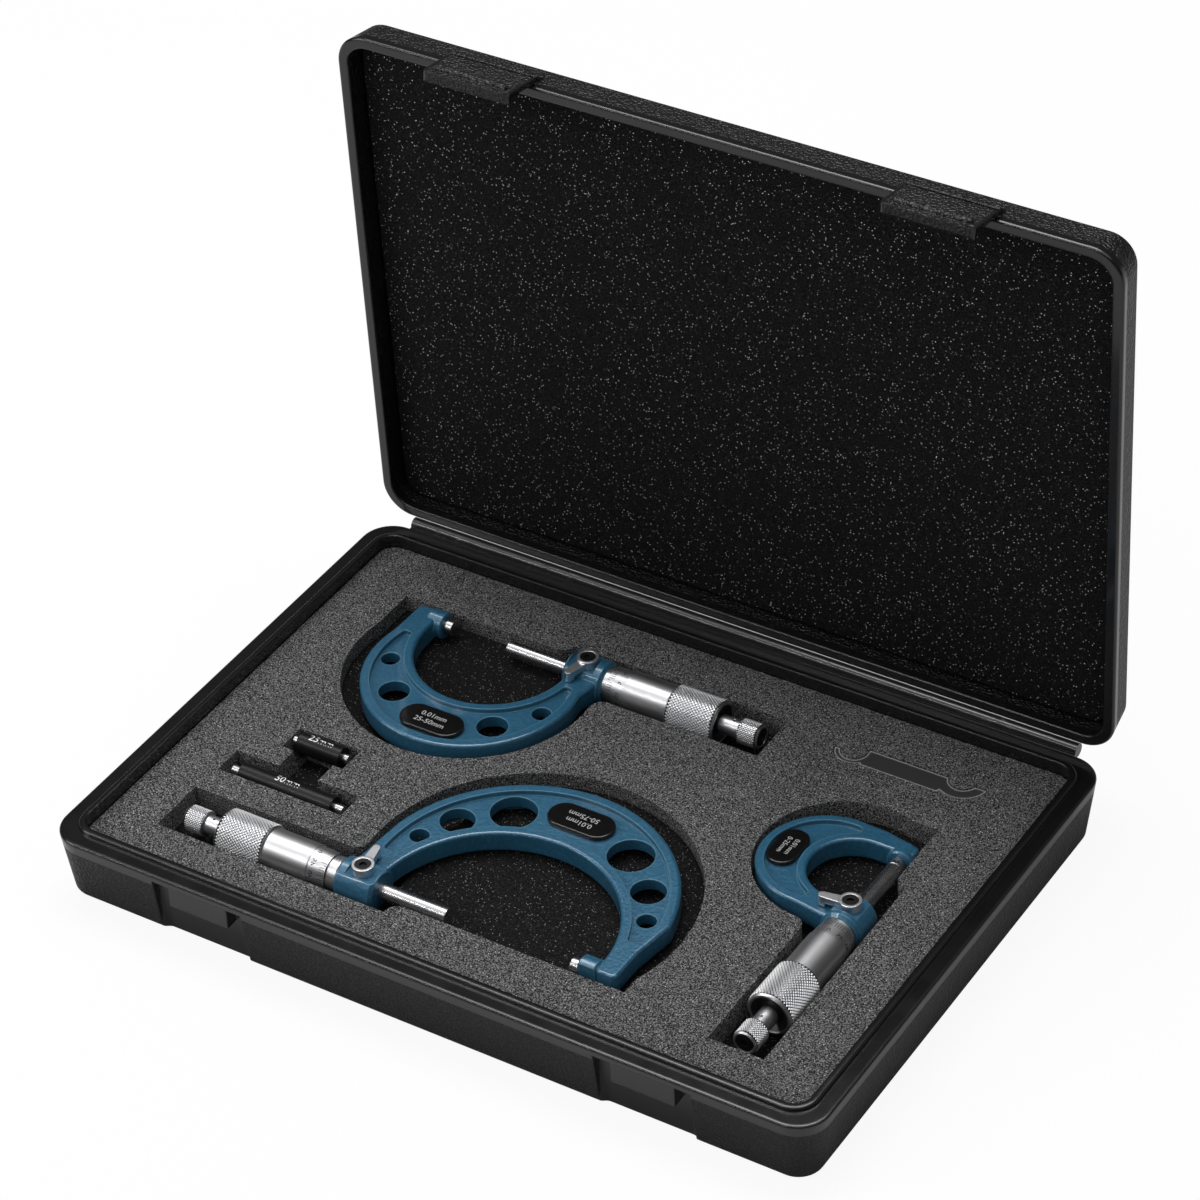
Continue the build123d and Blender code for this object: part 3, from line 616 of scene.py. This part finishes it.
def rings(name, piece, material, matrix, body, slot, **sizes):
    """A plain mesh of copies of a small solid, placed by the matrix, riding on a body."""
    holder = bpy.data.objects.new(name + "_holder", bpy.data.meshes.new(name + "_holder"))
    bpy.context.scene.collection.objects.link(holder)
    modifier = holder.modifiers.new("rings", "NODES")
    modifier.node_group = RINGS
    chosen = {"Piece": piece, "Material": material, "Long Every": 1, "Long By": 1.0, "Shift": 0.0}
    chosen.update({key.replace("_", " "): value for key, value in sizes.items()})
    for item in RINGS.interface.items_tree:
        if item.in_out == "INPUT" and item.name in chosen:
            modifier[item.identifier] = chosen[item.name]
    made = plain_mesh(name, holder, matrix)
    bpy.data.objects.remove(holder)
    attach(made, body)


def small_solid(name, points):
    """A solid of eight points, low four first, that rings() copies. It is removed afterwards."""
    faces = [(3, 2, 1, 0), (4, 5, 6, 7), (0, 1, 5, 4), (1, 2, 6, 5), (2, 3, 7, 6), (3, 0, 4, 7)]
    mesh = bpy.data.meshes.new(name)
    mesh.from_pydata(points, [], faces)
    made = bpy.data.objects.new(name, mesh)
    bpy.context.scene.collection.objects.link(made)
    return made


def stud(length, width, height):
    """One diamond of a knurl, with a small flat top. A groove is left round it."""
    points = []
    for share, z in ((0.43, 0), (0.20, height)):
        along, aside = length * share, width * share
        points += [(along, 0, z), (0, aside, z), (-along, 0, z), (0, -aside, z)]
    return small_solid("stud", points)


def stroke(length, width, rise=0.0):
    """One graduation line, along X from its root, on a bevel that rises by this much."""
    side = width / 2
    corners = ((0, -side), (length, -side), (length, side), (0, side))
    points = [
        (x, y, z + x / length * rise) for z in (-PRINT_T / 2, PRINT_T / 2) for x, y in corners
    ]
    return small_solid("stroke", points)


def knurl(name, one, pitch, around, radius, placed, length, body):
    """Rows of studs from a bare rim on, as far as the other rim."""
    step = pitch * KNURL_STEP
    first = placed @ Matrix.Translation((KNURL_BARE + 0.5 * pitch, 0, 0))
    rows = int((length - 2 * KNURL_BARE - pitch) / step) + 1
    rings(
        name, one, knurled_chrome, first, body, "satin_chrome",
        Around=around, Rows=rows, Radius=radius, Step=step, Shift=0.5,
    )


MARKS = 50  # round the bevel. Each fifth one is longer and has a figure
MARKS_R = 7.31 * MM
MARKS_IN = 0.3 * MM
FIGURES_R = 7.61 * MM
FIGURES_IN = 5.9 * MM
FIGURES_H = 2.1 * MM
SLEEVE_MARKS = 25
SLEEVE_R = 6.6 * MM
SLEEVE_IN = 0.5 * MM
DATUM_TURN = 0.12  # radians, round from the top
grip_pitch = 2 * pi * KNURL_R / KNURL_AROUND
knob_pitch = 2 * pi * RATCHET_R / RATCHET_AROUND
grip_stud = stud(grip_pitch * STUD_L, grip_pitch, KNURL_H)
knob_stud = stud(knob_pitch * STUD_L, knob_pitch, RATCHET_H)
bevel_line = stroke(2.5 * MM, 0.19 * MM, 0.13 * MM)
sleeve_line = stroke(0.16 * MM, 1.8 * MM)
datum_line = stroke(31 * MM, 0.16 * MM)
for size, place in PLACES.items():
    start = THIMBLE_START[size]
    end = start + THIMBLE_L
    chrome = turned_chrome(size, end - KNURL_L, end)
    for node in ("sleeve", "thimble", "ratchet"):
        dress(f"{node}_{size}", chrome)
    knurl(
        f"thimble_knurl_{size}", grip_stud, grip_pitch, KNURL_AROUND, KNURL_R,
        place @ Matrix.Translation((end - KNURL_L, 0, 0)), KNURL_L, f"thimble_{size}",
    )
    knurl(
        f"ratchet_knurl_{size}", knob_stud, knob_pitch, RATCHET_AROUND, RATCHET_R,
        place @ Matrix.Translation((end + NECK_L, 0, 0)), RATCHET_L, f"ratchet_{size}",
    )
    rings(
        f"thimble_lines_{size}", bevel_line, etch, place @ Matrix.Translation((start + MARKS_IN, 0, 0)),
        f"thimble_{size}", "satin_chrome",
        Around=MARKS, Rows=1, Radius=MARKS_R, Long_Every=5, Long_By=1.5, Step=0.0,
    )
    figures = []
    for mark in range(0, MARKS, 5):

        def wrap(p, turn=mark * 2 * pi / MARKS, x0=start + FIGURES_IN, m=place):
            angle = turn + p.x / FIGURES_R
            out = FIGURES_R + p.z
            return m @ Vector((x0 - p.y, -out * sin(angle), out * cos(angle)))

        figures.append((lettering(str(mark), FIGURES_H), wrap))
    settle(f"thimble_figures_{size}", figures, etch, f"thimble_{size}")
    root = Matrix.Translation((BOSS_END[size] + SLEEVE_IN, 0, 0)) @ Matrix.Rotation(DATUM_TURN, 4, "X")
    for name, line, rows in (("lines", sleeve_line, SLEEVE_MARKS), ("datum", datum_line, 1)):
        rings(
            f"sleeve_{name}_{size}", line, etch, place @ root, f"micrometer_{size}", "satin_chrome",
            Around=1, Rows=rows, Radius=SLEEVE_R, Step=1.0 * MM,
        )
for used in (grip_stud, knob_stud, bevel_line, sleeve_line, datum_line):
    bpy.data.objects.remove(used)


# ---------------------------------------------------------------- clamp levers and screws
# The clamp lever is die-cast and bright plated. The socket screws in it and in the ratchet are
# blackened steel.
lever_plate, n = finish("lever_plate")
at = n.place()
hazy = n.noise(at, 3 * MM, 2.0)
close(
    n,
    Base_Color=n.mix(hazy, grey(0.80, 0.02), grey(0.68, 0.02)),
    Roughness=hazy * 0.10 + 0.28,
    Metallic=1.0,
    Normal=n.bump(hazy, 0.02 * MM, 0.5, n.edges(0.5 * MM)),
)
black_screw = ground_steel("blackened_steel", 0.045, 0.28, 0.2 * MM)
for size in PLACES:
    dress(f"lock_lever_{size}", lever_plate)
    dress(f"lock_screw_{size}", black_screw)
    dress(f"ratchet_screw_{size}", black_screw)


# ---------------------------------------------------------------- setting standards
# A setting standard is a ground steel bar in a black plastic grip, with its length printed on it.
grip_plastic, n = finish("grip_plastic")
at = n.place()
close(
    n,
    Base_Color=grey(0.006),
    Roughness=n.noise(at, 3 * MM, 3.0) * 0.16 + 0.22,
    Specular_IOR_Level=0.28,
    Normal=n.bump(n.noise(at, 0.8 * MM, 2.0), 0.015 * MM, 0.5, n.edges(0.4 * MM)),
)
print_white = ink("white_figures", 0.85, 0.4 * MM, 0.45)
GRIP_R = 4.1 * MM
STANDARD_Z = 22.4 * MM
STANDARDS = (("25", -102.5 * MM, -15.8 * MM), ("50", -100.3 * MM, -41.0 * MM))
for length, x, y in STANDARDS:
    dress(f"standard_{length}_rod", polished)
    dress(f"standard_{length}_sleeve", grip_plastic)
    spot = Vector((x, y, STANDARD_Z))

    def round_grip(p, spot=spot):
        angle = p.y / GRIP_R
        out = GRIP_R + p.z
        return spot + Vector((p.x, out * sin(angle), out * cos(angle)))

    words = [(lettering(f"{length}mm", 3.0 * MM), round_grip)]
    settle(f"standard_figures_{length}", words, print_white, f"standard_{length}")


# ---------------------------------------------------------------- spanner
# The pin spanner is blanked from sheet steel and blackened to a dull grey, with a painted highlight
# along its edges.
material, n = finish("spanner_black")
streaks = n.noise(n.squeezed(n.place(), 1, 8, 8), 1.0 * MM)
# Painted highlight: light grey within 1.6 mm of the edges.
close(
    n,
    Base_Color=n.mix(n.worn(1.6 * MM), grey(0.042), grey(0.60)),
    Roughness=streaks * 0.16 + 0.26,
    Metallic=0.1,
    Normal=n.bump(streaks, 0.004 * MM, 0.6, n.edges(0.35 * MM)),
)
dress("spanner", material)


# ---------------------------------------------------------------- stage
# A white sweep, a large soft lamp over the case, a weaker one from the left, and a strip that draws
# lines of light along the rims.
SEEN_WHITE = 0.92  # share of plain white in the floor that the camera sees
REACH = 6.0
BELOW = 0.5 * MM
mesh = bpy.data.meshes.new("floor")
mesh.from_pydata(
    [(-REACH, -REACH, 0), (REACH, -REACH, 0), (REACH, REACH, 0), (-REACH, REACH, 0)], [], [(0, 1, 2, 3)]
)
floor = bpy.data.objects.new("floor", mesh)
mesh.transform(Matrix.Translation((0, 0, -BELOW)))
bpy.context.scene.collection.objects.link(floor)
material, n = finish("floor_white")
seen, glossy = n.ray("Camera"), n.ray("Glossy")
lit = n.add("ShaderNodeEmission", None, {"Color": (1, 1, 1, 1), "Strength": 1.0})
paper = n.add("ShaderNodeBsdfDiffuse", None, {"Color": 0.86 - glossy * 0.36})
both = n.add("ShaderNodeMixShader", None, {0: seen * SEEN_WHITE, 1: paper, 2: lit})
output = n.tree.nodes.new("ShaderNodeOutputMaterial")
n.tree.links.new(both.socket, output.inputs["Surface"])
mesh.materials.append(material)

world = bpy.data.worlds.new("studio")
bpy.context.scene.world = world
world.use_nodes = True
n = Nodes(world.node_tree)
seen, glossy = n.ray("Camera"), n.ray("Glossy")
height = n.split(n.add("ShaderNodeTexCoord", output="Generated"))[2]
mirrored = height.ramp(0.68, 0.86, 0.05, 1.10)
strength = seen + (1 - seen) * (glossy * mirrored + (1 - glossy) * 0.40)
sky = n.add("ShaderNodeBackground", None, {"Color": (1, 1, 1, 1), "Strength": strength})
output = world.node_tree.nodes.new("ShaderNodeOutputWorld")
world.node_tree.links.new(sky.socket, output.inputs["Surface"])


def lamp(name, place, aim, width, depth, power):
    light = bpy.data.lights.new(name, "AREA")
    light.shape = "RECTANGLE"
    light.size, light.size_y, light.energy = width, depth, power
    made = bpy.data.objects.new(name, light)
    bpy.context.scene.collection.objects.link(made)
    made.location = place
    made.rotation_euler = (Vector(place) - Vector(aim)).to_track_quat("Z", "Y").to_euler()


lamp("top_lamp", (-0.25, 0.35, 1.5), (0, 0, 0.05), 1.1, 0.8, 16)
lamp("left_lamp", (-1.3, -0.9, 0.9), (0, 0, 0.05), 0.7, 0.7, 5)
lamp("strip_lamp", (-0.57, -0.92, 0.92), (0, -0.05, 0.03), 1.5, 0.04, 3.0)

camera = bpy.data.objects.new("camera", bpy.data.cameras.new("camera"))
bpy.context.scene.collection.objects.link(camera)
right = Vector((0.85102, 0.52362, -0.03966))
up = Vector((-0.29207, 0.53475, 0.79293))
back = Vector((0.43641, -0.66322, 0.60802))
facing = Matrix((right, up, back)).transposed().to_4x4()
camera.matrix_world = Matrix.Translation((0.69380, -1.03312, 1.07224)) @ facing
camera.data.sensor_width = 36.0
camera.data.lens = 133.8
camera.data.clip_start = 0.05
bpy.context.scene.camera = camera
bpy.context.scene.view_settings.view_transform = "Standard"
